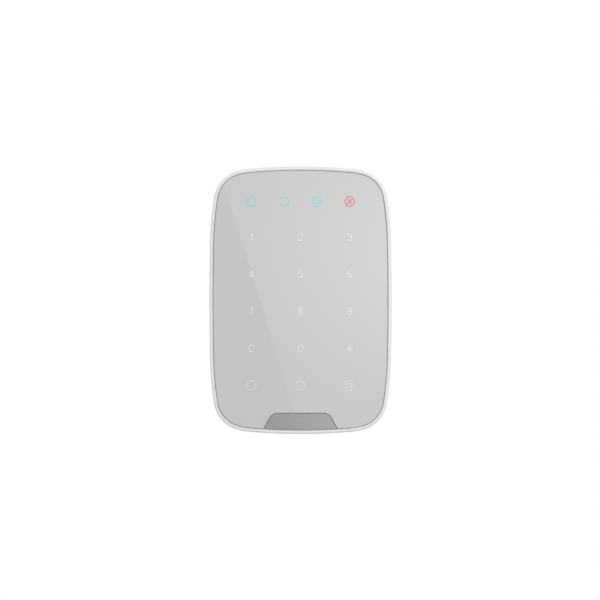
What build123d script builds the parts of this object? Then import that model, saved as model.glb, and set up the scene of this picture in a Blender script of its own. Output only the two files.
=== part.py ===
from build123d import *
import os
from math import cos, radians, sin, sqrt, tan

# Wall-mounted alarm keypad: a touch front on a slim battery-powered body that hooks on a wall bracket.
#
# Millimetres. X runs to the right, Z up, and -Y out of the wall towards the user. The origin is
# the middle of the bracket's wall face. A "depth" below is a distance from the wall, along -Y.

# ---------------------------------------------------------------- body outline
body_width = 102.6
body_height = 150.4
body_depth = 14.0
# A quarter of the outline is five tangent arcs, from the middle of a side to the middle of the top.
# The side and top arcs take the radii that close it at the body's width and height.
side_turn = 1.24
side_shoulder_turn = 8.05
side_shoulder_radius = 180.0
corner_radius = 18.2
top_shoulder_radius = 53.5
top_shoulder_turn = 8.07
top_turn = 4.74

# ---------------------------------------------------------------- shells
shell_wall = 1.8
parting_depth = 6.9
parting_gap = 0.15
rim_drop = 0.1
rim_radius = 1.2
rim_inner_edge = 0.25
cover_wall = 1.4
cover_edge_radius = 5.0
tongue_wall = 0.9
tongue_height = 1.5
fit_gap = 0.15

# ---------------------------------------------------------------- panel stack, from the front
panel_thickness = 1.3
panel_inset = 2.3
panel_gap = 0.35
panel_edge = 0.25
tape_thickness = 0.2
tape_margin = 0.8
ledge_inset = 8.5
ledge_thickness = 1.0
board_thickness = 0.8
board_inset = 4.5
clip_thickness = 1.0
clip_width = 5.0
clip_hook = 0.8
clip_head = 1.2
clip_end = 38.0

# ---------------------------------------------------------------- badge notch
badge_height = 11.85
badge_top_width = 32.1
badge_flank_angle = 29.0
badge_corner_radius = 5.0
badge_recess = 0.4
badge_gap = 0.3
badge_pad_margin = 1.4

# ---------------------------------------------------------------- keys and indicators
key_columns = 3
key_rows = 5
key_side_inset = 23.6
key_top_inset = 39.65
key_foot_inset = 27.3
indicator_count = 4
indicator_inset = 19.7
well_size = 8.0
led_width = 1.6
led_depth = 0.8
led_height = 0.6

# ---------------------------------------------------------------- wall bracket
bracket_thickness = 1.6
bracket_inset = 9.0
bracket_gap = 0.2
bracket_edge = 0.4
slide_travel = 6.0
wall_hole_side = 17.3
wall_hole_end = 17.2
wall_hole_radius = 1.9
wall_sink_radius = 3.1
hook_side = 18.3
hook_end = 39.2
hook_width = 8.0
hook_stem = 2.0
hook_lip = 4.5
hook_lip_thickness = 1.4
hook_play = 0.2
window_gap = 0.5
access_radius = 6.0

# ---------------------------------------------------------------- batteries
cell_radius = 5.25
cell_length = 44.5
cell_edge = 0.5
nub_radius = 1.9
nub_height = 0.8
bay_gap = 0.25
cell_back_gap = 0.2
tray_wall = 1.2
tray_rib = 3.0
tray_rib_end = 16.0
tray_scoop_radius = 3.5
tray_pin_radius = 1.0
bulge_back = 0.4
bulge_wall = 1.0
bulge_corner = 2.5
bulge_edge = 0.5
contact_thickness = 0.3
contact_width = 7.0
contact_height = 6.0
leaf_height = 1.6
touch_gap = 0.05
slot_half_width = 4.1

# ---------------------------------------------------------------- tamper plunger and its tab
tamper_x = 6.0
tamper_below_tab = 4.0
tamper_release = 0.7
plunger_radius = 1.7
plunger_dome_radius = 2.4
plunger_flange_radius = 2.7
plunger_flange = 0.8
plunger_fit = 0.05
plunger_play = 0.05
guide_wall = 1.4
guide_height = 2.8
tamper_switch_size = 3.6
tamper_switch_height = 1.2
switch_stub_radius = 0.9
switch_stub_height = 0.3
tab_end = 19.7
tab_width = 24.0
tab_height = 14.0
tab_hole_x = -5.0
perforation_width = 0.9
perforation_length = 4.2
perforation_bridge = 1.4
ramp_width = 4.4

# ---------------------------------------------------------------- power button
power_side = 18.3
power_radius = 3.0
power_sink = 0.2
power_fit = 0.1
power_flange = 0.8
power_flange_radius = 4.2
power_stem_radius = 1.5
power_travel = 0.4
power_ring_wall = 1.0
power_ring_height = 1.6
power_switch_size = 5.0
power_switch_height = 1.7
power_switch_stem_height = 0.9
power_switch_stem_radius = 1.2

# ---------------------------------------------------------------- screws and the lock
cover_screw_inset = 6.5
cover_screw_radius = 1.0
cover_screw_length = 6.0
cover_head_radius = 1.9
cover_head_height = 1.2
cover_head_sink = 0.4
screw_fit = 0.05
boss_wall = 1.9
lock_screw_radius = 1.0
lock_screw_length = 7.5
lock_head_radius = 1.7
lock_head_height = 1.4
lock_screw_depth = 3.6
lock_fit = 0.15
lock_boss_wall = 0.9
lip_width = 14.0
lip_thickness = 2.0
lip_end = 3.2
lip_reach = 5.6
lip_gap = 0.25
pocket_wall = 1.0
recess_width = 0.5
recess_depth = 0.7
cover_rib = 0.9
cover_rib_height = 1.8
cover_rib_gap = 2.0
prop_width = 3.0
prop_end = 13.0

# ---------------------------------------------------------------- electronics on the board
sounder_side = 18.3
sounder_radius = 6.0
sounder_height = 3.0
sounder_edge = 0.3
sounder_port_radius = 1.0
sound_slots = 3
sound_slot_length = 5.0
sound_slot_width = 1.0
sound_slot_pitch = 2.4
chip_side = 19.3
chip_z = 14.0
chip_size = 7.0
chip_height = 0.9
shield_side = 22.3
shield_end = 21.2
shield_width = 17.0
shield_length = 12.0
shield_height = 2.2
shield_sheet = 0.3
antenna_side = 31.3
antenna_end = 17.7
antenna_length = 26.0
antenna_width = 2.5
antenna_rise = 3.0
antenna_foot = 2.5
antenna_sheet = 0.4

# ---------------------------------------------------------------- depths that follow
rim_front = body_depth - rim_drop
rim_width = panel_inset - panel_gap
panel_back = body_depth - panel_thickness
ledge_front = panel_back - tape_thickness
board_front = ledge_front - ledge_thickness
board_back = board_front - board_thickness
cover_back = bracket_thickness + bracket_gap
cover_floor = cover_back + cover_wall
housing_back = parting_depth + parting_gap
bulge_floor = bulge_back + bulge_wall
cell_depth = bulge_floor + cell_back_gap + cell_radius
half_width = body_width / 2
half_height = body_height / 2
half_bay = cell_length + leaf_height + touch_gap

# ---------------------------------------------------------------- places that follow
key_pitch_x = half_width - key_side_inset
key_pitch_z = (body_height - key_top_inset - key_foot_inset) / (key_rows - 1)
key_centre_z = (key_foot_inset - key_top_inset) / 2
indicator_pitch = 2 * key_pitch_x / (indicator_count - 1)
indicator_z = half_height - indicator_inset
wall_hole_x = half_width - wall_hole_side
wall_hole_z = half_height - wall_hole_end
hook_x = half_width - hook_side
hook_z = half_height - hook_end
lip_drop = half_height - lip_end
lip_root = bracket_inset + lip_thickness - half_height
tab_z = half_height - tab_end
tamper_z = tab_z - tamper_below_tab
# The cells lie in two columns between the key columns, so that no key's light is behind a cell,
# and halfway between the lip and the tab, with room above them for the slide.
cell_x = key_pitch_x / 2
bay_centre_z = (lip_root + tab_z - tab_height / 2 - slide_travel) / 2
power_x, power_z = power_side - half_width, bay_centre_z
sounder_x, sounder_z = half_width - sounder_side, bay_centre_z
power_place = [(power_x, power_z)]
sounder_place = [(sounder_x, sounder_z)]
tamper_place = [(tamper_x, tamper_z)]


def facing(depth):
    """A plane parallel to the wall at a depth, seen from the front: its x is X and its y is Z."""
    return Plane.XZ.offset(depth)


def corners(x, z):
    """The four places at plus and minus x and z."""
    return GridLocations(2 * x, 2 * z, 2, 2)


# ---------------------------------------------------------------- the outline
corner_turn = 90 - side_turn - side_shoulder_turn - top_shoulder_turn - top_turn
inner_arcs = [
    (side_shoulder_radius, side_shoulder_turn),
    (corner_radius, corner_turn),
    (top_shoulder_radius, top_shoulder_turn),
]


def closing_radii():
    """The side and top radii that bring the arc chain from the body's side to its top."""
    left_x, left_z, normal = half_width, half_height, side_turn
    for radius, turn in inner_arcs:
        left_x -= radius * (cos(radians(normal)) - cos(radians(normal + turn)))
        left_z -= radius * (sin(radians(normal + turn)) - sin(radians(normal)))
        normal += turn
    side_x, side_z = 1 - cos(radians(side_turn)), sin(radians(side_turn))
    top_x, top_z = cos(radians(normal)), 1 - sin(radians(normal))
    scale = side_x * top_z - top_x * side_z
    side = (left_x * top_z - left_z * top_x) / scale
    top = (side_x * left_z - side_z * left_x) / scale
    return side, top


side_radius, top_radius = closing_radii()
half_outline = [(side_radius, 2 * side_turn), *inner_arcs, (top_radius, 2 * top_turn), *reversed(inner_arcs)]


def corner_place(inset):
    """The place on the corner arc's diagonal that lies an inset inside the outline."""
    normal = side_turn + side_shoulder_turn
    x = half_width - side_radius * (1 - cos(radians(side_turn)))
    x -= side_shoulder_radius * (cos(radians(side_turn)) - cos(radians(normal)))
    z = side_radius * sin(radians(side_turn))
    z += side_shoulder_radius * (sin(radians(normal)) - sin(radians(side_turn)))
    reach = (corner_radius - inset) * sqrt(0.5)
    return x - corner_radius * cos(radians(normal)) + reach, z - corner_radius * sin(radians(normal)) + reach


cover_screw_x, cover_screw_z = corner_place(cover_screw_inset)


def outline(inset):
    """The body's outline seen from the front, moved inwards by the same distance all round."""
    with BuildSketch() as shape:
        with BuildLine():
            sag = (side_radius - inset) * (1 - cos(radians(side_turn)))
            start = Vector(half_width - inset - sag, (inset - side_radius) * sin(radians(side_turn)))
            heading = Vector(sin(radians(side_turn)), cos(radians(side_turn)))
            for radius, turn in 2 * half_outline:
                arc = JernArc(start, heading, radius - inset, turn)
                start, heading = arc @ 1, arc % 1
        make_face()
    return shape.sketch


def badge_shape(margin):
    """The notch at the foot of the panel, grown by a margin: sloping flanks and rounded top corners."""
    foot_width = badge_top_width + 2 * badge_height * tan(radians(badge_flank_angle))
    with BuildSketch() as shape:
        with Locations((0, badge_height / 2 - half_height)):
            Trapezoid(foot_width, badge_height, 90 - badge_flank_angle)
        fillet(shape.vertices().group_by(Axis.Y)[-1], radius=badge_corner_radius)
        offset(amount=margin, kind=Kind.INTERSECTION)
    return shape.sketch


def cell_slots():
    """The two slots that let the cells reach forward through the board and the light frame."""
    with BuildSketch() as shape:
        with Locations((-cell_x, bay_centre_z), (cell_x, bay_centre_z)):
            RectangleRounded(2 * slot_half_width, 2 * half_bay, bay_gap + touch_gap)
    return shape.sketch


# ---------------------------------------------------------------- wall bracket
def bracket_windows():
    """The two windows that the battery bulges move in, with the slide's travel above them."""
    width = 2 * (slot_half_width + bulge_wall + window_gap)
    height = 2 * (half_bay + bulge_wall + window_gap) + slide_travel
    with BuildSketch() as shape:
        with Locations(*[(side * cell_x, bay_centre_z + slide_travel / 2) for side in (-1, 1)]):
            RectangleRounded(width, height, bulge_corner + window_gap)
    return shape.sketch


hook_front = cover_floor + hook_play + hook_lip_thickness
ramp_slope = tamper_release / slide_travel
dome_reach = plunger_dome_radius + plunger_play
ramp_depth = bracket_thickness + plunger_dome_radius - dome_reach * sqrt(1 + ramp_slope**2)
ramp_foot = tamper_z - (bracket_thickness - ramp_depth) / ramp_slope
ramp_head = tamper_z + slide_travel + plunger_radius + plunger_play + window_gap
perforation_pitch = perforation_length + perforation_bridge

with BuildPart() as mounting_bracket:
    with BuildSketch(facing(0)):
        add(outline(bracket_inset))
        add(bracket_windows(), mode=Mode.SUBTRACT)
        with Locations(*power_place, *sounder_place):
            Circle(access_radius, mode=Mode.SUBTRACT)
    extrude(amount=bracket_thickness)
    chamfer(mounting_bracket.faces().sort_by(Axis.Y)[0].outer_wire().edges(), length=bracket_edge)

    # Four hooks that point up: the cover's wall hangs on the stem, between the plate and the lip.
    for side in (-1, 1):
        with BuildSketch(Plane.YZ.offset(side * hook_x)):
            for z in (-hook_z, hook_z):
                with BuildLine():
                    Polyline(
                        (-bracket_thickness, z - hook_stem / 2),
                        (-hook_front, z - hook_stem / 2),
                        (-hook_front, z + hook_stem / 2 + hook_lip - hook_lip_thickness / 2),
                        (-hook_front + hook_lip_thickness / 2, z + hook_stem / 2 + hook_lip),
                        (-hook_front + hook_lip_thickness, z + hook_stem / 2 + hook_lip),
                        (-hook_front + hook_lip_thickness, z + hook_stem / 2),
                        (-bracket_thickness, z + hook_stem / 2),
                        close=True,
                    )
                make_face()
        extrude(amount=hook_width / 2, both=True)

    # The foot turns forward into the lip that the lock screw passes through.
    with BuildSketch(Plane.YZ):
        with BuildLine():
            Polyline(
                (0, lip_root),
                (0, -lip_drop),
                (-lip_reach, -lip_drop),
                (-lip_reach, lip_thickness - lip_drop),
                (-bracket_thickness, lip_thickness - lip_drop),
                (-bracket_thickness, lip_root),
                close=True,
            )
        make_face()
    extrude(amount=lip_width / 2, both=True)
    with BuildSketch(Plane.XY.offset(-lip_drop)):
        with Locations((0, -lock_screw_depth)):
            Circle(lock_screw_radius + lock_fit)
    extrude(amount=lip_thickness, mode=Mode.SUBTRACT)

    # Countersunk wall-screw holes, four in the plate and one in the break-out tab.
    with Locations(facing(bracket_thickness)):
        with corners(wall_hole_x, wall_hole_z):
            CounterSinkHole(wall_hole_radius, wall_sink_radius, bracket_thickness)
        with Locations((tab_hole_x, tab_z)):
            CounterSinkHole(wall_hole_radius, wall_sink_radius, bracket_thickness)

    # A perforated line round the tab: it stays on the wall when the bracket is torn off.
    with BuildSketch(facing(0)):
        with Locations((0, tab_z)):
            with GridLocations(perforation_pitch, tab_height, int(tab_width // perforation_pitch), 2):
                Rectangle(perforation_length, perforation_width)
            with GridLocations(tab_width, perforation_pitch, 2, int(tab_height // perforation_pitch)):
                Rectangle(perforation_width, perforation_length)
    extrude(amount=bracket_thickness, mode=Mode.SUBTRACT)

    # The groove that the tamper plunger rides in: it sinks as the keypad is slid up.
    with BuildSketch(Plane.YZ.offset(tamper_x)):
        with BuildLine():
            Polyline(
                (-bracket_thickness, ramp_foot),
                (-bracket_thickness, ramp_head),
                ((ramp_head - ramp_foot) * ramp_slope - bracket_thickness, ramp_head),
                close=True,
            )
        make_face()
    extrude(amount=ramp_width / 2, both=True, mode=Mode.SUBTRACT)
mounting_bracket.part.label = "mounting_bracket"


# ---------------------------------------------------------------- screws
def screw(radius, length, head_radius, head_height):
    """A cross-recess screw that stands on the origin, its tip along +Z and its head below."""
    with BuildPart() as body:
        with BuildSketch(Plane.XZ):
            with BuildLine():
                Polyline(
                    (0, -head_height),
                    (0.7 * head_radius, -head_height),
                    (head_radius, 0),
                    (radius, 0),
                    (radius, length),
                    (0, length),
                    close=True,
                )
            make_face()
        revolve(axis=Axis.Z)
        with BuildSketch(Plane.XY.offset(-head_height)):
            Rectangle(head_radius, recess_width)
            Rectangle(recess_width, head_radius)
        extrude(amount=recess_depth, mode=Mode.SUBTRACT)
    return body.part


with BuildPart() as lock_screw:
    with Locations((0, -lock_screw_depth, -lip_drop - touch_gap)):
        add(screw(lock_screw_radius, lock_screw_length, lock_head_radius, lock_head_height))
lock_screw.part.label = "lock_screw"


# ---------------------------------------------------------------- rear cover
tongue_inset = shell_wall + fit_gap + tongue_wall
tongue_top = parting_depth + tongue_height
pocket_top = lip_thickness + lip_gap - lip_drop
pocket_front = lip_reach + lip_gap
pocket_half = lip_width / 2 + lip_gap
lock_bore_top = lock_screw_length + lip_gap - lip_drop
lock_boss_radius = lock_screw_radius + lock_fit + lock_boss_wall
boss_radius = cover_screw_radius + boss_wall
head_seat = cover_back + cover_head_sink + cover_head_height
guide_top = cover_floor + guide_height
ring_bore_radius = power_flange_radius + power_fit


def bowl(inset, back, front, ease, edge):
    """The outline as a solid between two depths, with its edge towards the wall rounded or cut."""
    with BuildPart() as solid:
        with BuildSketch(facing(back)):
            add(outline(inset))
        extrude(amount=front - back)
        ease(solid.faces().sort_by(Axis.Y)[-1].edges(), edge)
    return solid.part


def bulges(wall, back):
    """The two battery bulges from a depth to the cover's floor, moved in by a wall."""
    width = 2 * (slot_half_width + bulge_wall - wall)
    height = 2 * (half_bay + bulge_wall - wall)
    with BuildPart() as solid:
        with BuildSketch(facing(back)):
            with Locations((-cell_x, bay_centre_z), (cell_x, bay_centre_z)):
                RectangleRounded(width, height, bulge_corner - wall)
        extrude(amount=cover_floor - back)
        if not wall:
            chamfer(solid.faces().filter_by(Plane.XZ).group_by(Axis.Y)[-1].edges(), length=bulge_edge)
    return solid.part


def posts(places, radius, back, front):
    """Round posts at places seen from the front, standing between two depths."""
    with BuildPart() as solid:
        with BuildSketch(facing(back)):
            with Locations(*places):
                Circle(radius)
        extrude(amount=front - back)
    return solid.part


corner_places = [(x, z) for x in (-cover_screw_x, cover_screw_x) for z in (-cover_screw_z, cover_screw_z)]
rib_x = cell_x + cell_radius + bay_gap + tray_wall + cover_rib_gap
prop_places = [(x, z) for x in (-rib_x, rib_x) for z in (prop_end - half_height, half_height - prop_end)]

with BuildPart() as rear_cover:
    # The shell, its stepped tongue for the housing and the two bulges that the cells lie in.
    add(bowl(0, cover_back, parting_depth, fillet, cover_edge_radius))
    with BuildSketch(facing(parting_depth)):
        add(outline(shell_wall + fit_gap))
    extrude(amount=tongue_height)
    inner_edge = cover_edge_radius - tongue_inset
    add(bowl(tongue_inset, cover_floor, tongue_top, chamfer, inner_edge), mode=Mode.SUBTRACT)
    add(bulges(0, bulge_back))
    add(bulges(bulge_wall, bulge_floor), mode=Mode.SUBTRACT)

    # Ribs that stiffen the floor beside the bays, and crossed props that back the board at its ends.
    with BuildSketch(facing(cover_floor)):
        with Locations((0, bay_centre_z)):
            with GridLocations(2 * rib_x, 0, 2, 1):
                Rectangle(cover_rib, 2 * half_bay)
    extrude(amount=cover_rib_height)
    with BuildSketch(facing(cover_floor)):
        with Locations(*prop_places):
            Rectangle(prop_width, cover_rib)
            Rectangle(cover_rib, prop_width)
    extrude(amount=board_back - fit_gap - cover_floor)

    # Posts for the corner screws, the tamper guide and the ring round the power button.
    add(posts(corner_places, boss_radius, cover_floor, parting_depth))
    add(posts(tamper_place, plunger_radius + plunger_fit + guide_wall, cover_floor, guide_top))
    ring_top = cover_floor + power_ring_height
    add(posts(power_place, ring_bore_radius + power_ring_wall, cover_floor, ring_top))
    add(posts(power_place, ring_bore_radius, cover_floor, ring_top), mode=Mode.SUBTRACT)
    add(posts(tamper_place, plunger_radius + plunger_fit, cover_back, guide_top), mode=Mode.SUBTRACT)
    add(posts(power_place, power_radius + power_fit, cover_back, cover_floor), mode=Mode.SUBTRACT)
    with Locations(-facing(cover_back)):
        with corners(cover_screw_x, cover_screw_z):
            CounterBoreHole(
                cover_screw_radius + lock_fit,
                cover_head_radius + lock_fit,
                head_seat - cover_back,
                depth=parting_depth - cover_back,
            )

    # The pocket for the bracket's lip, and the boss that the lock screw enters.
    with BuildSketch(facing(cover_floor)):
        with Locations((0, pocket_top + pocket_wall)):
            Rectangle(2 * (pocket_half + pocket_wall), half_height, align=(Align.CENTER, Align.MAX))
        add(outline(shell_wall), mode=Mode.INTERSECT)
    extrude(amount=pocket_front + pocket_wall - cover_floor)
    with BuildSketch(Plane.XY.offset(pocket_top)):
        with Locations((0, -lock_screw_depth)):
            Circle(lock_boss_radius)
        with Locations((0, -cover_back)):
            width, upwards = 2 * lock_boss_radius, (Align.CENTER, Align.MIN)
            Rectangle(width, lock_boss_radius, align=upwards, mode=Mode.SUBTRACT)
    extrude(amount=lock_bore_top - pocket_top)
    with BuildSketch(facing(0)):
        with Locations((0, pocket_top)):
            Rectangle(2 * pocket_half, half_height, align=(Align.CENTER, Align.MAX))
    extrude(amount=pocket_front, mode=Mode.SUBTRACT)
    with BuildSketch(Plane.XY.offset(pocket_top)):
        with Locations((0, -lock_screw_depth)):
            Circle(lock_screw_radius + lock_fit)
    extrude(amount=lock_bore_top - pocket_top, mode=Mode.SUBTRACT)

    # Slots for the hooks, as tall as the stem and the slide, and the sounder's slots.
    with BuildSketch(facing(cover_back)):
        slot_height = hook_stem + 2 * hook_play + slide_travel
        with Locations((0, -slide_travel / 2)):
            with corners(hook_x, hook_z):
                Rectangle(hook_width + 2 * window_gap, slot_height)
        with Locations(*sounder_place):
            with GridLocations(sound_slot_pitch, 0, sound_slots, 1):
                SlotOverall(sound_slot_length, sound_slot_width, rotation=90)
    extrude(amount=cover_wall, mode=Mode.SUBTRACT)
rear_cover.part.label = "rear_cover"


# ---------------------------------------------------------------- front housing
screw_tip = head_seat + cover_screw_length
clip_x = half_width - board_inset + fit_gap
clip_z = half_height - clip_end


def badge_pad(growth):
    """The shelf under the badge plate, as far as the rim's inner edge."""
    with BuildSketch() as shape:
        add(badge_shape(badge_pad_margin + growth))
        add(outline(rim_width), mode=Mode.INTERSECT)
    return shape.sketch


with BuildPart() as front_housing:
    # The outer wall with its rounded rim, sunk for the panel and hollow behind.
    with BuildSketch(facing(housing_back)):
        add(outline(0))
    extrude(amount=rim_front - housing_back)
    fillet(front_housing.faces().sort_by(Axis.Y)[0].edges(), radius=rim_radius)
    with BuildSketch(facing(ledge_front)):
        add(outline(rim_width))
    extrude(amount=body_depth - ledge_front, mode=Mode.SUBTRACT)
    rim_face = front_housing.faces().filter_by(Plane.XZ).sort_by(Axis.Y)[0]
    chamfer(rim_face.inner_wires()[0].edges(), length=rim_inner_edge)
    with BuildSketch(facing(housing_back)):
        add(outline(shell_wall))
    extrude(amount=board_front - housing_back, mode=Mode.SUBTRACT)

    # The ledge that carries the panel and the board, opened for the light frame.
    with BuildSketch(facing(board_front)):
        add(outline(ledge_inset))
        add(badge_pad(0), mode=Mode.SUBTRACT)
    extrude(amount=ledge_thickness, mode=Mode.SUBTRACT)

    # Corner bosses for the cover's screws.
    add(posts(corner_places, boss_radius, housing_back, board_front))
    thread_radius, thread_front = cover_screw_radius + screw_fit, screw_tip + fit_gap
    add(posts(corner_places, thread_radius, housing_back, thread_front), mode=Mode.SUBTRACT)

    # Three sprung clips along each side, which the board snaps past and rests on.
    for z in (-clip_z, 0, clip_z):
        with BuildSketch(Plane.XY.offset(z)):
            with BuildLine():
                Polyline(
                    (clip_x, -board_front),
                    (clip_x, -board_back),
                    (clip_x - clip_hook, -board_back),
                    (clip_x, clip_head - board_back),
                    (clip_x + clip_thickness, clip_head - board_back),
                    (clip_x + clip_thickness, -board_front),
                    close=True,
                )
            make_face()
            mirror(about=Plane.YZ)
        extrude(amount=clip_width / 2, both=True)
front_housing.part.label = "front_housing"


# ---------------------------------------------------------------- cover screws
with BuildPart() as cover_screws:
    with Locations(facing(head_seat)):
        with corners(cover_screw_x, cover_screw_z):
            add(screw(cover_screw_radius, cover_screw_length, cover_head_radius, cover_head_height))
cover_screws.part.label = "cover_screws"


# ---------------------------------------------------------------- front panel, its tape and the badge plate
with BuildPart() as front_panel:
    with BuildSketch(facing(panel_back)):
        add(outline(panel_inset))
        add(badge_shape(0), mode=Mode.SUBTRACT)
    extrude(amount=panel_thickness)
    chamfer(front_panel.faces().sort_by(Axis.Y)[0].edges(), length=panel_edge)
front_panel.part.label = "front_panel"

with BuildPart() as panel_tape:
    with BuildSketch(facing(ledge_front)):
        add(outline(panel_inset + tape_margin))
        add(outline(ledge_inset - tape_margin), mode=Mode.SUBTRACT)
        add(badge_shape(badge_pad_margin / 2), mode=Mode.SUBTRACT)
    extrude(amount=tape_thickness)
panel_tape.part.label = "panel_tape"

with BuildPart() as badge_plate:
    with BuildSketch(facing(ledge_front)):
        add(badge_shape(-badge_gap))
        add(outline(panel_inset), mode=Mode.INTERSECT)
    extrude(amount=body_depth - badge_recess - ledge_front)
    chamfer(badge_plate.faces().sort_by(Axis.Y)[0].edges(), length=badge_recess / 3)
badge_plate.part.label = "badge_plate"


# ---------------------------------------------------------------- light frame and touch board
def key_places():
    """The middles of the fifteen keys, seen from the front."""
    return GridLocations(key_pitch_x, key_pitch_z, key_columns, key_rows)


def indicator_places():
    """The middles of the indicators in the row above the keys."""
    return GridLocations(indicator_pitch, 0, indicator_count, 1)


tray_pins = [(0, bay_centre_z + side * (half_bay - tray_rib_end)) for side in (-1, 1)]

with BuildPart() as light_frame:
    with BuildSketch(facing(board_front)):
        add(outline(ledge_inset + fit_gap))
        add(badge_pad(fit_gap), mode=Mode.SUBTRACT)
        add(cell_slots(), mode=Mode.SUBTRACT)
        with Locations((0, key_centre_z)):
            with key_places():
                Rectangle(well_size, well_size, mode=Mode.SUBTRACT)
        with Locations((0, indicator_z)):
            with indicator_places():
                Rectangle(well_size, well_size, mode=Mode.SUBTRACT)
    extrude(amount=ledge_thickness)
light_frame.part.label = "light_frame"

with BuildPart() as touch_board:
    with BuildSketch(facing(board_back)):
        add(outline(board_inset))
        add(cell_slots(), mode=Mode.SUBTRACT)
        with Locations(*corner_places):
            Circle(boss_radius + fit_gap, mode=Mode.SUBTRACT)
        with Locations(*tray_pins):
            Circle(tray_pin_radius + fit_gap, mode=Mode.SUBTRACT)
    extrude(amount=board_thickness)
touch_board.part.label = "touch_board"

with BuildPart() as key_leds:
    with BuildSketch(facing(board_front)):
        with Locations((0, key_centre_z)):
            with key_places():
                Rectangle(led_width, led_depth)
    extrude(amount=led_height)
key_leds.part.label = "key_leds"

with BuildPart() as indicator_leds:
    with BuildSketch(facing(board_front)):
        with Locations((0, indicator_z)):
            with indicator_places():
                Rectangle(led_width, led_depth)
    extrude(amount=led_height)
indicator_leds.part.label = "indicator_leds"


# ---------------------------------------------------------------- battery tray, cells and contacts
tray_half_x = cell_x + cell_radius + bay_gap + tray_wall
tray_half_z = half_bay + tray_wall
middle_half = cell_x - cell_radius - bay_gap - tray_wall
tray_back = cover_floor + fit_gap
contact_back = cell_depth - contact_height / 2

with BuildPart() as battery_tray:
    with BuildSketch(facing(tray_back)):
        with Locations((0, bay_centre_z)):
            Rectangle(2 * tray_half_x, 2 * tray_half_z)
            with Locations((-cell_x, 0), (cell_x, 0)):
                Rectangle(2 * (cell_radius + bay_gap), 2 * half_bay, mode=Mode.SUBTRACT)
            # Between the bays it is open at the foot too, where the lock screw's boss stands.
            with Locations((0, -tray_wall / 2)):
                Rectangle(2 * middle_half, 2 * half_bay + tray_wall, mode=Mode.SUBTRACT)
    extrude(amount=board_back - tray_back)
    # Two ribs tie the bays together and carry the pins that enter the board.
    with BuildSketch(facing(cell_depth)):
        with Locations(*tray_pins):
            Rectangle(2 * middle_half, tray_rib)
    extrude(amount=board_back - cell_depth)
    add(posts(tray_pins, tray_pin_radius, board_back, board_front))
    # Scoops in the outer walls let a finger lift each cell.
    with BuildSketch(Plane.YZ.offset(-tray_half_x)):
        with Locations(*[(-tray_back, bay_centre_z + side * cell_length / 2) for side in (-1, 1)]):
            Circle(tray_scoop_radius)
    extrude(amount=2 * tray_half_x, mode=Mode.SUBTRACT)
    # The link contact passes through the inner walls at the head of the bays.
    with BuildSketch(facing(contact_back - touch_gap)):
        with Locations((0, bay_centre_z + half_bay)):
            slot_width = contact_thickness + 2 * touch_gap
            Rectangle(2 * cell_x, slot_width, align=(Align.CENTER, Align.MAX))
    extrude(amount=contact_height + 2 * touch_gap, mode=Mode.SUBTRACT)
battery_tray.part.label = "battery_tray"


def cell(x, foot_z, nub_up):
    """One round cell at a column, standing on a height, with its nub up or down."""
    way = 1 if nub_up else -1
    base_z = foot_z if nub_up else foot_z + cell_length
    with BuildPart() as body:
        with BuildSketch(Plane.XY.offset(base_z)):
            with Locations((x, -cell_depth)):
                Circle(cell_radius)
        extrude(amount=way * (cell_length - nub_height))
        chamfer(body.edges().sort_by(Axis.Z)[-1 if nub_up else 0], length=cell_edge)
        with BuildSketch(Plane.XY.offset(base_z + way * (cell_length - nub_height))):
            with Locations((x, -cell_depth)):
                Circle(nub_radius)
        extrude(amount=way * nub_height)
    return body.part


cell_seats = [
    (-cell_x, bay_centre_z - cell_length, True),
    (-cell_x, bay_centre_z, True),
    (cell_x, bay_centre_z - cell_length, False),
    (cell_x, bay_centre_z, False),
]
cells = []
for number, seat in enumerate(cell_seats, start=1):
    with BuildPart() as battery_cell:
        add(cell(*seat))
    battery_cell.part.label = f"battery_cell_{number}"
    cells.append(battery_cell.part)


def bow_contact(places, strip_half, way):
    """Spring contacts against an end wall of the bays: a flat strip with a bow at each place."""
    wall_z = bay_centre_z - way * half_bay
    with BuildPart() as contact:
        with BuildSketch(facing(contact_back)):
            with Locations((sum(places) / len(places), wall_z + way * contact_thickness / 2)):
                Rectangle(2 * strip_half, contact_thickness)
        extrude(amount=contact_height)
        for x in places:
            with BuildSketch(Plane.YZ.offset(x)):
                with BuildLine():
                    foot, crest = wall_z + way * contact_thickness, wall_z + way * leaf_height
                    inner = contact_height / 2 - contact_thickness
                    ThreePointArc(
                        (-cell_depth - contact_height / 2, foot),
                        (-cell_depth, crest),
                        (-cell_depth + contact_height / 2, foot),
                    )
                    Line(
                        (-cell_depth + contact_height / 2, foot),
                        (-cell_depth + inner, foot),
                    )
                    ThreePointArc(
                        (-cell_depth + inner, foot),
                        (-cell_depth, crest - way * contact_thickness),
                        (-cell_depth - inner, foot),
                    )
                    Line(
                        (-cell_depth - inner, foot),
                        (-cell_depth - contact_height / 2, foot),
                    )
                make_face()
            extrude(amount=contact_width / 2, both=True)
    return contact.part


with BuildPart() as battery_link_contact:
    add(bow_contact([-cell_x, cell_x], cell_x + contact_width / 2, -1))
battery_link_contact.part.label = "battery_link_contact"

with BuildPart() as battery_plus_contact:
    add(bow_contact([cell_x], contact_width / 2, 1))
battery_plus_contact.part.label = "battery_plus_contact"

with BuildPart() as battery_minus_contact:
    add(bow_contact([-cell_x], contact_width / 2, 1))
battery_minus_contact.part.label = "battery_minus_contact"


# ---------------------------------------------------------------- tamper switch and plunger
stub_tip = board_back - tamper_switch_height - switch_stub_height
flange_back = guide_top + tamper_release + plunger_play

with BuildPart() as tamper_switch:
    with BuildSketch(facing(board_back - tamper_switch_height)):
        with Locations(*tamper_place):
            RectangleRounded(tamper_switch_size, tamper_switch_size, window_gap)
    extrude(amount=tamper_switch_height)
    add(posts(tamper_place, switch_stub_radius, stub_tip, board_back - tamper_switch_height))
tamper_switch.part.label = "tamper_switch"


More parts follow.
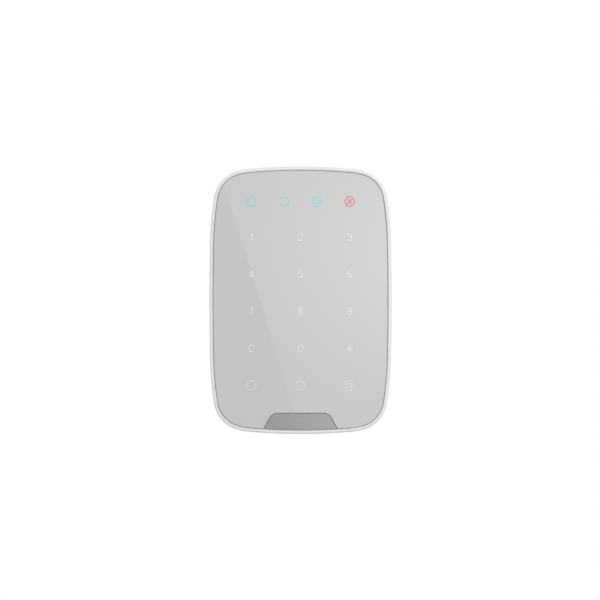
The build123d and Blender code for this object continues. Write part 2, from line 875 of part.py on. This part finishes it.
def plunger():
    """The plunger standing on its domed tip: a barrel, a flange that keeps it in, and a stem."""
    shoulder = bracket_thickness + plunger_dome_radius - sqrt(plunger_dome_radius**2 - plunger_radius**2)
    flange_front = flange_back + plunger_flange
    with BuildPart() as body:
        with BuildSketch(Plane.XZ):
            with BuildLine():
                RadiusArc((0, bracket_thickness), (plunger_radius, shoulder), -plunger_dome_radius)
                Polyline(
                    (plunger_radius, shoulder),
                    (plunger_radius, flange_back),
                    (plunger_flange_radius, flange_back),
                    (plunger_flange_radius, flange_front),
                    (switch_stub_radius, flange_front),
                    (switch_stub_radius, stub_tip - touch_gap),
                    (0, stub_tip - touch_gap),
                    (0, bracket_thickness),
                )
            make_face()
        revolve(axis=Axis.Z)
    return body.part


with BuildPart() as tamper_plunger:
    with Locations(facing(0)):
        with Locations(*tamper_place):
            add(plunger())
tamper_plunger.part.label = "tamper_plunger"


# ---------------------------------------------------------------- power button and switch
button_back = cover_back + power_sink
flange_floor = cover_floor + touch_gap
switch_back = board_back - power_switch_height
switch_stem_tip = switch_back - power_switch_stem_height

with BuildPart() as power_button:
    add(posts(power_place, power_radius, button_back, flange_floor))
    chamfer(power_button.edges().group_by(Axis.Y)[-1], length=power_sink)
    add(posts(power_place, power_flange_radius, flange_floor, flange_floor + power_flange))
    add(posts(power_place, power_stem_radius, flange_floor + power_flange, switch_stem_tip - touch_gap))
power_button.part.label = "power_button"

with BuildPart() as power_switch_body:
    with BuildSketch(facing(switch_back)):
        with Locations(*power_place):
            RectangleRounded(power_switch_size, power_switch_size, window_gap)
    extrude(amount=power_switch_height)
    bore_depth = 2 * power_travel + power_fit
    bore_radius = power_switch_stem_radius + power_fit
    add(posts(power_place, bore_radius, switch_back, switch_back + bore_depth), mode=Mode.SUBTRACT)
power_switch_body.part.label = "power_switch_body"

with BuildPart() as power_switch_stem:
    add(posts(power_place, power_switch_stem_radius, switch_stem_tip, switch_back + power_travel))
power_switch_stem.part.label = "power_switch_stem"


# ---------------------------------------------------------------- sounder, controller and radio
with BuildPart() as sounder:
    sounder_back = board_back - sounder_height
    add(posts(sounder_place, sounder_radius, sounder_back, board_back))
    chamfer(sounder.edges().group_by(Axis.Y)[-1], length=sounder_edge)
    port = posts(sounder_place, sounder_port_radius, sounder_back, sounder_back + sounder_height / 2)
    add(port, mode=Mode.SUBTRACT)
sounder.part.label = "sounder"

with BuildPart() as controller_chip:
    with BuildSketch(facing(board_back - chip_height)):
        with Locations((chip_side - half_width, chip_z)):
            Rectangle(chip_size, chip_size)
    extrude(amount=chip_height)
controller_chip.part.label = "controller_chip"

with BuildPart() as radio_shield:
    with BuildSketch(facing(board_back - shield_height)):
        with Locations((half_width - shield_side, half_height - shield_end)):
            Rectangle(shield_width, shield_length)
    extrude(amount=shield_height)
    offset(amount=-shield_sheet, openings=radio_shield.faces().sort_by(Axis.Y)[0])
radio_shield.part.label = "radio_shield"

with BuildPart() as antenna_strip:
    # A foot on the board, a leg and a long arm, cut from one strip and bent.
    antenna_foot_x = antenna_side - half_width - antenna_length / 2
    with BuildSketch(Plane.XY.offset(half_height - antenna_end - antenna_width / 2)):
        with Locations((antenna_foot_x, -board_back)):
            Rectangle(antenna_foot, antenna_sheet, align=(Align.MAX, Align.MIN))
            Rectangle(antenna_sheet, antenna_rise, align=(Align.MAX, Align.MIN))
        with Locations((antenna_foot_x, antenna_rise - board_back)):
            Rectangle(antenna_length, antenna_sheet, align=(Align.MIN, Align.MAX))
            Rectangle(antenna_sheet, antenna_sheet, align=(Align.MAX, Align.MAX))
    extrude(amount=antenna_width)
antenna_strip.part.label = "antenna_strip"


# ---------------------------------------------------------------- one file for each piece
os.makedirs("parts", exist_ok=True)
pieces = [
    mounting_bracket.part,
    lock_screw.part,
    rear_cover.part,
    front_housing.part,
    cover_screws.part,
    front_panel.part,
    panel_tape.part,
    badge_plate.part,
    light_frame.part,
    touch_board.part,
    key_leds.part,
    indicator_leds.part,
    battery_tray.part,
    *cells,
    battery_link_contact.part,
    battery_plus_contact.part,
    battery_minus_contact.part,
    tamper_switch.part,
    tamper_plunger.part,
    power_button.part,
    power_switch_body.part,
    power_switch_stem.part,
    sounder.part,
    controller_chip.part,
    radio_shield.part,
    antenna_strip.part,
]
for piece in pieces:
    export_step(piece, f"parts/{piece.label}.step")
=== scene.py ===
import math

import bpy
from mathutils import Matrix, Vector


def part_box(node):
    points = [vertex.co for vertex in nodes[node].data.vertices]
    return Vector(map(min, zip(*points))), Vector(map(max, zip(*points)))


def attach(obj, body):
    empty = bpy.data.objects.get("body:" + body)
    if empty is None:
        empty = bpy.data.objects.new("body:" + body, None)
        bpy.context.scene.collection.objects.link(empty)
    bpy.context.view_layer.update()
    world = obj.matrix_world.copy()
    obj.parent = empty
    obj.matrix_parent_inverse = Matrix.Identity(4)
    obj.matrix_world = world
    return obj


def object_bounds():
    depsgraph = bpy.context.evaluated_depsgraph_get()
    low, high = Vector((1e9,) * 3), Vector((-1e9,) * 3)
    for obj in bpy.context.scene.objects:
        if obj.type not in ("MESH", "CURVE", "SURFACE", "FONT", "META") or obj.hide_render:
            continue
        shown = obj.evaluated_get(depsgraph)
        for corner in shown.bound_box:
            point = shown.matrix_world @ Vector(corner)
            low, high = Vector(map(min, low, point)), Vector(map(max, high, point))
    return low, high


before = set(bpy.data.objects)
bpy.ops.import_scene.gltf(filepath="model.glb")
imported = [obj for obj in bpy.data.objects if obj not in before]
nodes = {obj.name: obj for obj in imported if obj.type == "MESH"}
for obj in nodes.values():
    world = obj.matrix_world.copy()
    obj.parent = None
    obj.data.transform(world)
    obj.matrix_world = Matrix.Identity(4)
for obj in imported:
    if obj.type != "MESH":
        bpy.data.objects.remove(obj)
cad_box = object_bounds()


# ---------------------------------------------------------------- wall bracket
# The plate that is screwed to the wall and carries the keypad on four hooks. It is moulded in
# white ABS with a coarse spark-eroded grain, because it is hidden in use.
class Socket:
    """An output of a shader node. Sums and products of it are new Math nodes."""

    def __init__(self, output):
        self.output = output

    def node(self, kind, settings, inputs, output=0):
        """Any other node, with its settings and then the values or links of its inputs."""
        tree = self.output.id_data
        made = tree.nodes.new(kind)
        for name, value in settings.items():
            setattr(made, name, value)
        for name, value in inputs.items():
            if isinstance(value, Socket):
                tree.links.new(value.output, made.inputs[name])
            else:
                made.inputs[name].default_value = value
        return Socket(made.outputs[output])

    def math(self, operation, first, second=0.0):
        return self.node("ShaderNodeMath", {"operation": operation}, {0: first, 1: second})

    def __add__(self, other):
        return self.math("ADD", self, other)

    def __sub__(self, other):
        return self.math("SUBTRACT", self, other)

    def __rsub__(self, other):
        return self.math("SUBTRACT", other, self)

    def __mul__(self, other):
        return self.math("MULTIPLY", self, other)

    def __truediv__(self, other):
        return self.math("DIVIDE", self, other)

    __radd__, __rmul__ = __add__, __mul__


def noise(place, size, detail=2.0):
    """Noise with grains of a size in metres."""
    inputs = {"Vector": place, "Scale": 1 / size, "Detail": detail}
    return place.node("ShaderNodeTexNoise", {}, inputs)


def blend(share, first, second):
    """A colour that goes from the first to the second as the share goes from 0 to 1."""
    first, second = (c if isinstance(c, Socket) else (*c, 1.0) for c in (first, second))
    return share.node("ShaderNodeMix", {"data_type": "RGBA"}, {0: share, 6: first, 7: second}, 2)


def tone(color, factor):
    """A colour made darker or lighter by a factor."""
    return tuple(min(1.0, factor * channel) for channel in color)


def new_material(name, **constants):
    """A material, its Principled shader with constant values set, and its object coordinates."""
    material = bpy.data.materials.new(name)
    material.use_nodes = True
    shader = material.node_tree.nodes["Principled BSDF"]
    for socket, value in constants.items():
        shader.inputs[socket.replace("_", " ")].default_value = value
    place = Socket(shader.outputs["BSDF"]).node("ShaderNodeTexCoord", {}, {}, "Object")
    return material, shader, place


def vary(shader, name, value):
    """An input of a shader follows a socket."""
    shader.id_data.links.new(value.output, shader.inputs[name])


def emboss(shader, height, depth):
    """The surface rises and falls with a height map, by a depth in metres."""
    vary(shader, "Normal", height.node("ShaderNodeBump", {}, {"Distance": depth, "Height": height}))


def moulded(name, color, roughness, grain, depth, **constants):
    """Moulded plastic: a tint that drifts by a few percent, over an eroded grain of a size."""
    material, shader, place = new_material(name, **constants)
    drift, pits = noise(place, size=0.03, detail=3.0), noise(place, size=grain)
    vary(shader, "Base Color", blend(drift, tone(color, 0.985), tone(color, 1.015)))
    vary(shader, "Roughness", roughness + 0.1 * (pits - 0.5) + 0.06 * (drift - 0.5))
    emboss(shader, pits, depth)
    return material


def finish(material, *names):
    """The material goes on the CAD nodes of those names."""
    for name in names:
        for slot in nodes[name].material_slots:
            slot.material = material


bracket_white = (0.738, 0.737, 0.737)
bracket_abs = moulded("bracket_abs", bracket_white, roughness=0.55, grain=0.0006, depth=0.00004)
finish(bracket_abs, "mounting_bracket")


# ---------------------------------------------------------------- screws
# Four screws hold the two shells together, and a longer one with a narrower head locks the keypad
# on its bracket. They are cold-headed steel with a bright zinc plate, which is a little uneven.
def plated(name, color, roughness, dent):
    """Plated metal: its roughness and tint are patchy, over shallow dents of a size."""
    material, shader, place = new_material(name, Metallic=1.0)
    patches, dents = noise(place, size=0.0012, detail=4.0), noise(place, size=dent, detail=1.0)
    vary(shader, "Base Color", blend(patches, tone(color, 0.85), tone(color, 1.1)))
    vary(shader, "Roughness", roughness + 0.15 * (patches - 0.5) + 0.1 * (dents - 0.5))
    emboss(shader, dents, depth=0.000004)
    return material


zinc_plate = plated("zinc_plate", (0.62, 0.63, 0.64), roughness=0.34, dent=0.0002)
finish(zinc_plate, "lock_screw", "cover_screws")


# ---------------------------------------------------------------- shells
# The rear cover and the front housing are moulded in white ABS with a fine satin grain. The two
# shells come from the same batch of resin, so only the parting line tells them apart.
shell_white = (0.745, 0.744, 0.744)
shell_abs = moulded("shell_abs", shell_white, roughness=0.38, grain=0.0003, depth=0.000008)
finish(shell_abs, "front_housing", "rear_cover")


# ---------------------------------------------------------------- power button and tamper plunger
# Both are pushed from behind. The button is grey so that it is found in its ring, and the plunger
# is natural acetal, which is milky and slides without grease on the bracket's ramp.
button_grey = (0.33, 0.335, 0.34)
button_abs = moulded("button_abs", button_grey, roughness=0.42, grain=0.0003, depth=0.00001)
finish(button_abs, "power_button")
plunger_white = (0.72, 0.71, 0.68)
acetal = moulded(
    "acetal", plunger_white, roughness=0.3, grain=0.0008, depth=0.000004, Subsurface_Weight=0.2
)
finish(acetal, "tamper_plunger")


# ---------------------------------------------------------------- switches, sounder and chip
# Parts with a black glass-filled moulding or a resin body, soldered to the back of the board. The
# filled moulding is the coarser and shinier of the two, and the chip's resin is fine and matt.
filled_black, resin_black = (0.022, 0.022, 0.023), (0.03, 0.03, 0.032)
black_filled = moulded("black_filled", filled_black, roughness=0.5, grain=0.0004, depth=0.00002)
finish(black_filled, "tamper_switch", "power_switch_body", "power_switch_stem", "sounder")
chip_epoxy = moulded("chip_epoxy", resin_black, roughness=0.62, grain=0.00015, depth=0.00001)
finish(chip_epoxy, "controller_chip")


# ---------------------------------------------------------------- radio shield and antenna
# The shield is a folded can of tinned sheet over the radio, and the antenna is a strip of tinned
# brass bent up from the board. Tin shows soft clouds and small dents.
finish(plated("tinned_sheet", (0.72, 0.71, 0.69), roughness=0.3, dent=0.0006), "radio_shield")
finish(plated("tinned_brass", (0.74, 0.62, 0.40), roughness=0.32, dent=0.0003), "antenna_strip")


# ---------------------------------------------------------------- touch board and its lights
# A glass-epoxy board under green solder mask, with a light for each mark. Copper shows through the
# mask: bundles of tracks at the back, and at the front a round touch pad for each key in a hatch.
led_width, led_height = 0.0016, 0.0008
key_low, key_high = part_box("key_leds")
columns = [key_low.x + led_width / 2, 0.0, key_high.x - led_width / 2]
top_row, foot_row = key_high.z - led_height / 2, key_low.z + led_height / 2
row_count = 5
row_pitch = (top_row - foot_row) / (row_count - 1)
rows = [top_row - row_pitch * i for i in range(row_count)]


def axis(place, name):
    """The x, y or z of a place."""
    return place.node("ShaderNodeSeparateXYZ", {}, {"Vector": place}, name)


def step(value, edge, softness=0.0001):
    """0 below an edge and 1 above it, with a soft change."""
    inputs = {"Value": value, "From Min": edge - softness, "From Max": edge + softness}
    return value.node("ShaderNodeMapRange", {"interpolation_type": "SMOOTHSTEP"}, inputs)


def lines(along, pitch, width):
    """1 on lines of a width that are a pitch apart, and 0 between them."""
    return 1 - step(along.math("PINGPONG", along, pitch / 2), width / 2, softness=0.00003)


def cells(place, size, metric, output):
    """Cells of a size on a flat place: the colour of each, or how far it is to its seed."""
    settings = {"voronoi_dimensions": "2D", "distance": metric}
    inputs = {"Vector": place, "Scale": 1 / size}
    return place.node("ShaderNodeTexVoronoi", settings, inputs, output)


board, shader, place = new_material("solder_mask", IOR=1.55)
laid_flat = place.node("ShaderNodeMapping", {}, {"Vector": place, "Rotation": (math.pi / 2, 0, 0)})
x, z = axis(place, "X"), axis(place, "Z")

# At the back each bundle of tracks runs up or across, or is poured full of copper instead.
bundle_size, poured_from = 0.011, 0.62
track_pitch, track_width = 0.0009, 0.0003
bundle = cells(laid_flat, bundle_size, "CHEBYCHEV", "Color")
upright = step(axis(bundle, "X"), 0.5, softness=0.001)
up_tracks, cross_tracks = lines(x, track_pitch, track_width), lines(z, track_pitch, track_width)
tracks = upright * up_tracks + (1 - upright) * cross_tracks
poured = step(axis(bundle, "Y"), poured_from, softness=0.001)
back_copper = tracks.math("MAXIMUM", tracks, poured)

# At the front the hatch stays clear of the pads, which are at the columns and rows of the keys.
pad_radius, clear_radius = 0.0055, 0.0062
hatch_pitch, hatch_width = 0.0017, 0.00035
off_x = x.math("PINGPONG", x, columns[2] / 2)
off_z = z.math("PINGPONG", z - foot_row, row_pitch / 2)
from_key = x.math("SQRT", off_x * off_x + off_z * off_z)
in_rows = step(z, foot_row - row_pitch / 2) * (1 - step(z, top_row + row_pitch / 2))
pad = in_rows * (1 - step(from_key, pad_radius, softness=0.00005))
clear_of_pads = 1 - in_rows * (1 - step(from_key, clear_radius, softness=0.00005))
up_hatch, down_hatch = (lines(way, hatch_pitch, hatch_width) for way in (x + z, x - z))
front_copper = pad + clear_of_pads * x.math("MAXIMUM", up_hatch, down_hatch)

# The tinned holes are at the cells' seeds, with a radius that is a share of their spacing.
hole_spacing, hole_share = 0.0065, 0.055
board_low, board_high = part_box("touch_board")
at_back = step(axis(place, "Y"), (board_low.y + board_high.y) / 2)
copper = at_back * back_copper + (1 - at_back) * front_copper
from_hole = cells(laid_flat, hole_spacing, "EUCLIDEAN", "Distance")
holes = at_back * (1 - step(from_hole, hole_share, softness=0.005))

copper_green, tin = (0.015, 0.125, 0.05), (0.72, 0.70, 0.65)
cloud = noise(place, size=0.004, detail=3.0)
mask = blend(cloud, (0.006, 0.055, 0.022), (0.009, 0.07, 0.028))
masked = blend(copper, mask, copper_green)
vary(shader, "Base Color", blend(holes, masked, tin))
vary(shader, "Metallic", holes)
vary(shader, "Roughness", 0.24 + 0.1 * cloud)
emboss(shader, copper, depth=0.00003)
finish(board, "touch_board")

resin, shader, place = new_material("led_resin", IOR=1.52, Roughness=0.25, Subsurface_Weight=0.3)
phosphor = noise(place, size=0.0005, detail=1.0)
vary(shader, "Base Color", blend(phosphor, (0.80, 0.78, 0.66), (0.86, 0.80, 0.45)))
finish(resin, "key_leds", "indicator_leds")


# ---------------------------------------------------------------- light frame and tape
# The frame keeps the light of one mark out of the next. It is moulded in a white that lets
# nothing through, and the tape that holds the panel down is black closed-cell foam.
frame_white = (0.80, 0.80, 0.79)
reflector = moulded("reflector_white", frame_white, roughness=0.45, grain=0.0005, depth=0.00001)
finish(reflector, "light_frame")

pore_size = 0.0002
tape, shader, place = new_material("foam_tape", Roughness=0.85)
pore_inputs = {"Vector": place, "Scale": 1 / pore_size}
pores = place.node("ShaderNodeTexVoronoi", {}, pore_inputs, "Distance")
vary(shader, "Base Color", blend(pores, (0.012, 0.012, 0.012), (0.035, 0.035, 0.035)))
emboss(shader, pores, depth=0.00006)
finish(tape, "panel_tape")


# ---------------------------------------------------------------- battery tray, contacts and cells
# The tray is a black moulding, and its contacts are nickel-plated spring steel. Each cell is a
# steel can in a printed film sleeve, bare at both ends, and the cells of a column face one way.
tray_black = (0.03, 0.03, 0.031)
tray_abs = moulded("tray_abs", tray_black, roughness=0.5, grain=0.0007, depth=0.00004)
finish(tray_abs, "battery_tray")
nickel = plated("nickel_plate", (0.66, 0.63, 0.58), roughness=0.26, dent=0.00025)
finish(nickel, "battery_link_contact", "battery_plus_contact", "battery_minus_contact")

end_bare = 0.0011
nub_length = 0.0008
band_share = 0.24
film_dark, film_light, film_worn = (0.10, 0.13, 0.17), (0.42, 0.46, 0.50), (0.30, 0.32, 0.34)
can_steel = (0.66, 0.65, 0.62)
for number, nub_up in ((1, True), (2, True), (3, False), (4, False)):
    name = f"battery_cell_{number}"
    lowest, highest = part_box(name)
    base, way = (lowest.z, 1) if nub_up else (highest.z, -1)
    length = highest.z - lowest.z - nub_length
    sleeve, shader, place = new_material(f"cell_sleeve_{number}", IOR=1.5)
    along = way * (axis(place, "Z") - base)
    bare = step(along, length - end_bare) + 1 - step(along, end_bare)
    band = step(along, (1 - band_share) * length)
    scuffs = noise(place, size=0.002, detail=4.0)
    film = blend(band, film_dark, film_light)
    scuffed = blend(0.15 * scuffs, film, film_worn)
    vary(shader, "Base Color", blend(bare, scuffed, can_steel))
    vary(shader, "Metallic", 0.35 + 0.65 * bare)
    vary(shader, "Roughness", 0.22 + 0.12 * scuffs)
    finish(sleeve, name)


# ---------------------------------------------------------------- front panel
# One flat sheet with a hard polished face, white with a little grey and printed from behind, so
# that the face itself is perfectly even and mirrors the room.
def polished(name, color):
    """The panel's polished face over a printed colour, with a barely visible cloud in the print."""
    material, shader, place = new_material(name, IOR=1.5)
    print_cloud, haze = noise(place, size=0.02), noise(place, size=0.012)
    vary(shader, "Base Color", blend(print_cloud, tone(color, 0.997), tone(color, 1.003)))
    vary(shader, "Roughness", 0.004 + 0.004 * haze)
    return material


finish(polished("panel_face", (0.545, 0.543, 0.543)), "front_panel")


# ---------------------------------------------------------------- badge plate
# The plate in the notch at the foot is a flat moulding under a glossy grey lacquer. It stays
# plain: the flakes in the lacquer and its bevelled edge are all there is to see.
lacquer, shader, place = new_material("badge_lacquer", IOR=2.2)
flake = noise(place, size=0.0003)
vary(shader, "Base Color", blend(flake, (0.186, 0.186, 0.186), (0.206, 0.206, 0.206)))
vary(shader, "Roughness", 0.05 + 0.04 * flake)
finish(lacquer, "badge_plate")


# ---------------------------------------------------------------- key and status marks
# Digits and symbols are printed on the panel's face and lit from behind. Each is a ribbon of ink
# a hundredth of a millimetre proud, with one width of stroke and square ends. Each stroke of a mark
# lies a thousandth of a millimetre behind the one before, and the star's strokes are finer.
ink_proud = 0.00001
stroke_drop = 0.000001
star_weight = 0.82
arc_step = 7.5
panel_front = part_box("front_panel")[0].y


def arc(x, z, radius, start, end, height=None):
    """Points along a round or an upright oval arc, between two angles in degrees."""
    count = max(2, round(abs(end - start) / arc_step))
    turns = [math.radians(start + (end - start) * i / count) for i in range(count + 1)]
    return [(x + radius * math.cos(t), z + (height or radius) * math.sin(t)) for t in turns]


def spoke(length, angle):
    """A stroke through the middle that reaches a length each way, at an angle in degrees."""
    x, z = length * math.cos(math.radians(angle)), length * math.sin(math.radians(angle))
    return [(x, z), (-x, -z)]


# A digit reaches a side to the left and right of its middle, and a top above and below it. Its
# round bowls have their centres a bowl above and below the middle, and the eight has two loops of
# its own. A nudge is a tenth of a millimetre.
side, top = 0.00108, 0.00193
bowl = top - side
nudge = 0.0001
stem = 0.45 * side
crossbar = -10 * nudge
small_loop, large_loop = 0.00091, 0.00102
six = [arc(0, -bowl, side, 0, 360), [(-side, -bowl), *arc(0, bowl, side, 180, 65)]]
ring_radius, inner_radius = 0.00262, 0.00112
ring = arc(0, 0, ring_radius, 0, 360)
arm, cross = 0.00206, 0.0014
glyphs = {
    "1": [[(stem, -top), (stem, top)], [(-0.4 * side, top - 9 * nudge), (stem, top - 2 * nudge)]],
    "2": [
        [*arc(-nudge, bowl, 1.07 * side, 170, -35, side), (-side, 2 * nudge - top)],
        [(-1.15 * side, -top), (0.95 * side, -top)],
    ],
    "3": [
        [*arc(-nudge, bowl + nudge, 1.05 * side, 172, -90, bowl), (-0.2 * side, nudge)],
        [(-0.2 * side, nudge), *arc(-nudge, nudge - side, 1.07 * side, 90, -172, side)],
    ],
    "4": [
        [(0.6 * side, top), (-side, crossbar)],
        [(-1.1 * side, crossbar), (1.1 * side, crossbar)],
        [(0.6 * side, top), (0.6 * side, nudge - top)],
    ],
    "5": [
        [(-0.9 * side, top), (0.85 * side, top)],
        [(-0.9 * side, top), (-0.9 * side, nudge)],
        [(-0.9 * side, nudge), *arc(0, -bowl, side, 90, -160)],
    ],
    "6": six,
    "7": [[(-side, top), (side, top)], [(side, top), (-0.35 * side, -top)]],
    "8": [
        arc(0, large_loop, 0.93 * side, 0, 360, small_loop),
        arc(0, -small_loop, side, 0, 360, large_loop),
    ],
    "9": [[(-x, -z) for x, z in points] for points in six],
    "0": [[*arc(0, bowl, side, 0, 180), *arc(0, -bowl, side, 180, 360), (side, bowl)]],
    "C": [[*arc(0, bowl, side, 20, 180), *arc(0, -bowl, side, 180, 340)]],
    "*": [spoke(arm, angle) for angle in (90, 32, 148)],
    "ring": [ring],
    "open_ring": [arc(0, 0, ring_radius, -148, 148)],
    "double_ring": [ring, arc(0, 0, inner_radius, -158, 158)],
    "crossed_ring": [ring, [(-cross, -cross), (cross, cross)], [(-cross, cross), (cross, -cross)]],
}


def marks(name, color, stroke, placed):
    """One print of ink ribbons: a curve with a spline for each stroke, made a mesh on the panel."""
    curve = bpy.data.curves.new(name, "CURVE")
    curve.dimensions = "3D"
    curve.twist_mode = "Z_UP"
    curve.extrude = stroke / 2 - ink_proud
    curve.bevel_depth = ink_proud
    curve.bevel_resolution = 0
    curve.use_fill_caps = True
    for symbol, x, z in placed:
        for layer, points in enumerate(glyphs[symbol]):
            closed = math.dist(points[0], points[-1]) < stroke / 100
            spline = curve.splines.new("POLY")
            spline.points.add(len(points) - closed - 1)
            spline.use_cyclic_u = closed
            for point, (px, pz) in zip(spline.points, points):
                point.co = (x + px, z + pz, -stroke_drop * layer, 1)
                point.tilt = math.pi / 2
                point.radius = star_weight if symbol == "*" else 1.0
    print_layer = bpy.data.objects.new(name, curve)
    bpy.context.scene.collection.objects.link(print_layer)
    bpy.ops.object.select_all(action="DESELECT")
    print_layer.select_set(True)
    bpy.context.view_layer.objects.active = print_layer
    bpy.ops.object.convert(target="MESH")
    print_layer = bpy.context.object
    print_layer.rotation_euler = (math.pi / 2, 0, 0)
    print_layer.location = (0, panel_front, 0)
    bpy.ops.object.transform_apply(location=True, rotation=True, scale=True)
    print_layer.data.materials.clear()
    print_layer.data.materials.append(polished(f"{name}_ink", color))
    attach(print_layer, "keypad")


*digit_rows, function_row = rows
digits = [
    (symbol, x, z)
    for line, z in zip(("123", "456", "789", "C0*"), digit_rows)
    for symbol, x in zip(line, columns)
]
marks("digit_marks", color=(0.77, 0.77, 0.77), stroke=0.00044, placed=digits)

ring_kinds = ("ring", "open_ring", "double_ring")
functions = [(kind, x, function_row) for kind, x in zip(ring_kinds, columns)]
marks("function_marks", color=(0.70, 0.70, 0.70), stroke=0.00041, placed=functions)

light_low, light_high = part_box("indicator_leds")
light_x = light_high.x - led_width / 2
light_z = (light_low.z + light_high.z) / 2
light_columns = (-light_x, -light_x / 3, light_x / 3)
statuses = [(kind, x, light_z) for kind, x in zip(ring_kinds, light_columns)]
marks("status_marks", color=(0.03, 0.74, 0.74), stroke=0.00044, placed=statuses)
alarm = [("crossed_ring", light_x, light_z)]
marks("alarm_mark", color=(0.79, 0.03, 0.03), stroke=0.00044, placed=alarm)


# ---------------------------------------------------------------- floor, light and camera
# A pale floor well below the keypad, as it hangs, under a plain white surround. A soft light
# stands in front to the right and a weaker one behind to the left, and a large softbox behind the
# camera is what the panel mirrors.
low, high = cad_box
centre = [(a + b) / 2 for a, b in zip(low, high)]
camera_distance = 3.0
camera_aside, camera_above = -0.00025, 0.00015
camera_spot = (centre[0] + camera_aside, low[1] - camera_distance, centre[2] + camera_above)
share_of_view = 0.3042
bpy.ops.object.select_all(action="DESELECT")
bpy.ops.object.camera_add(location=camera_spot, rotation=(math.pi / 2, 0, 0))
camera = bpy.context.object
camera.data.sensor_width = 36.0
camera.data.lens = share_of_view * camera.data.sensor_width * camera_distance / (high[0] - low[0])
camera.data.clip_end = 50.0
bpy.context.scene.camera = camera


def seen_rays(shader):
    """1 for the rays that look at a surface, straight or in gloss or glass, and 0 for its light."""
    straight, gloss, glass = (
        Socket(shader.outputs[0]).node("ShaderNodeLightPath", {}, {}, f"Is {kind} Ray")
        for kind in ("Camera", "Glossy", "Transmission")
    )
    return straight.math("MAXIMUM", straight.math("MAXIMUM", straight, gloss), glass)


floor_size, floor_height = 4.4, -0.3
bpy.ops.mesh.primitive_plane_add(size=floor_size, location=(0, 0, floor_height))
floor = bpy.context.object
floor.name = "floor"
floor_paint, shader, place = new_material("floor_paint", Roughness=0.9, Emission_Strength=0.48)
blotches = noise(place, size=0.3)
vary(shader, "Base Color", blend(blotches, (0.54, 0.54, 0.54), (0.56, 0.56, 0.56)))
# The floor's own glow is seen, but it lights nothing.
vary(shader, "Emission Color", blend(seen_rays(shader), (0, 0, 0), (1, 1, 1)))
# Seen from below, the floor is clear.
painted = Socket(shader.outputs["BSDF"])
under = painted.node("ShaderNodeNewGeometry", {}, {}, "Backfacing")
clear = painted.node("ShaderNodeBsdfTransparent", {}, {})
surface = painted.node("ShaderNodeMixShader", {}, {0: under, 1: painted, 2: clear})
vary(floor_paint.node_tree.nodes["Material Output"], "Surface", surface)
floor.data.materials.append(floor_paint)


def lamp(name, place, size, power):
    """A square soft light that faces the keypad."""
    bpy.ops.object.light_add(type="AREA", location=place)
    light = bpy.context.object
    light.name = name
    light.data.size = size
    light.data.energy = power
    across = math.hypot(place[0], place[1])
    light.rotation_euler = (math.atan2(across, place[2]), 0, math.atan2(place[0], -place[1]))


lamp("key_light", place=(1.3, -2.5, 0.9), size=2.4, power=36.0)
lamp("back_light", place=(-1.6, 1.9, 0.7), size=1.6, power=19.0)

# The surround is seen as pure white, and lights the keypad a little less than that.
lit_strength, seen_extra = 0.78, 0.22
world = bpy.data.worlds.new("surround")
bpy.context.scene.world = world
world.use_nodes = True
surround = world.node_tree.nodes["Background"]
surround.inputs["Color"].default_value = (1, 1, 1, 1)
vary(surround, "Strength", lit_strength + seen_extra * seen_rays(surround))

# The softbox glows most above and to the right of the camera, and its left edge slants. In the
# panel that edge runs from the upper left of the face to the middle of the foot. What the panel
# shows at a place is on the card at reach times that place.
card_distance = 1.0
card_height, card_right = 0.6, 0.6
reach = (2 * camera_distance + card_distance) / camera_distance
edge_top, edge_foot = (-0.0427, 0.0645), (-0.0032, -0.0622)
slant = (edge_foot[0] - edge_top[0]) / (edge_foot[1] - edge_top[1])
card_spot = (0, low[1] - camera_distance - card_distance, 0)
bpy.ops.mesh.primitive_plane_add(size=card_height, location=card_spot, rotation=(math.pi / 2, 0, 0))
card = bpy.context.object
card.name = "softbox"
bpy.ops.object.transform_apply(location=True, rotation=True, scale=True)
for vertex in card.data.vertices:
    if vertex.co.x < 0:
        vertex.co.x = reach * edge_top[0] + slant * (vertex.co.z - reach * edge_top[1])
    else:
        vertex.co.x = card_right
glow, shader, place = new_material("softbox_glow", Base_Color=(0, 0, 0, 1), Emission_Strength=4.2)
glow_right, glow_up = 0.09 * reach, 0.03 * reach
glow_width, glow_height = 0.09 * reach, 0.07 * reach
off_x = (axis(place, "X") - glow_right) / glow_width
off_z = (axis(place, "Z") - glow_up) / glow_height
spread = off_x * off_x + off_z * off_z
nearness = spread.math("EXPONENT", -1 * spread)
vary(shader, "Emission Color", blend(nearness, (0.33, 0.33, 0.33), (0.98, 0.98, 0.98)))
card.data.materials.append(glow)

bpy.context.scene.view_settings.view_transform = "Standard"
